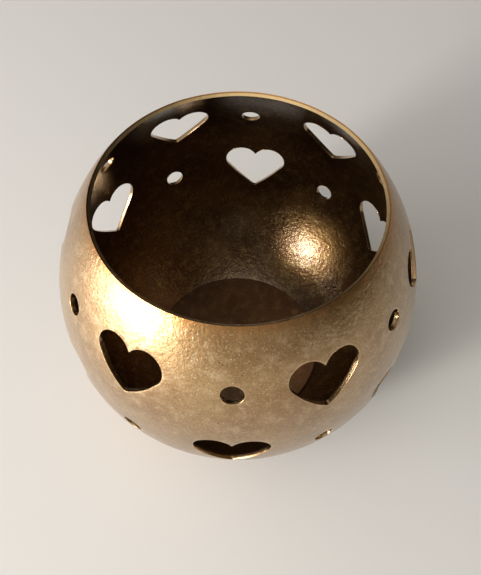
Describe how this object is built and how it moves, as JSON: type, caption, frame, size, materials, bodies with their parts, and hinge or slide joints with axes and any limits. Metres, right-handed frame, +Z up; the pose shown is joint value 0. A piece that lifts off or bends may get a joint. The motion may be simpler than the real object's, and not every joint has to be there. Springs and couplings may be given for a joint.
{
  "type": "tealight holder",
  "caption": "Round sheet-metal tealight holder: a globe with a flat foot, a wide open mouth and pierced hearts and dots all round.",
  "frame": {"origin": "on the ground plane under the middle of the globe, at the centre of the flat foot ring", "axes": "+Z up along the globe's axis, out of the mouth; the front is towards -Y, where a lower heart stands on the centre line; +X to the right seen from the front"},
  "size_m": [0.1, 0.0996, 0.0807],
  "materials": {
    "shell": "antique gold lacquer over spun sheet, mottled, worn bright at cut edges, smoked dark brown inside",
    "floor": "smoked dark brown lacquer over flat sheet, satin"
  },
  "bodies": {
    "root": {"upper_shell": "shell", "lower_shell": "shell", "floor_disc": "floor"}
  },
  "joints": []
}
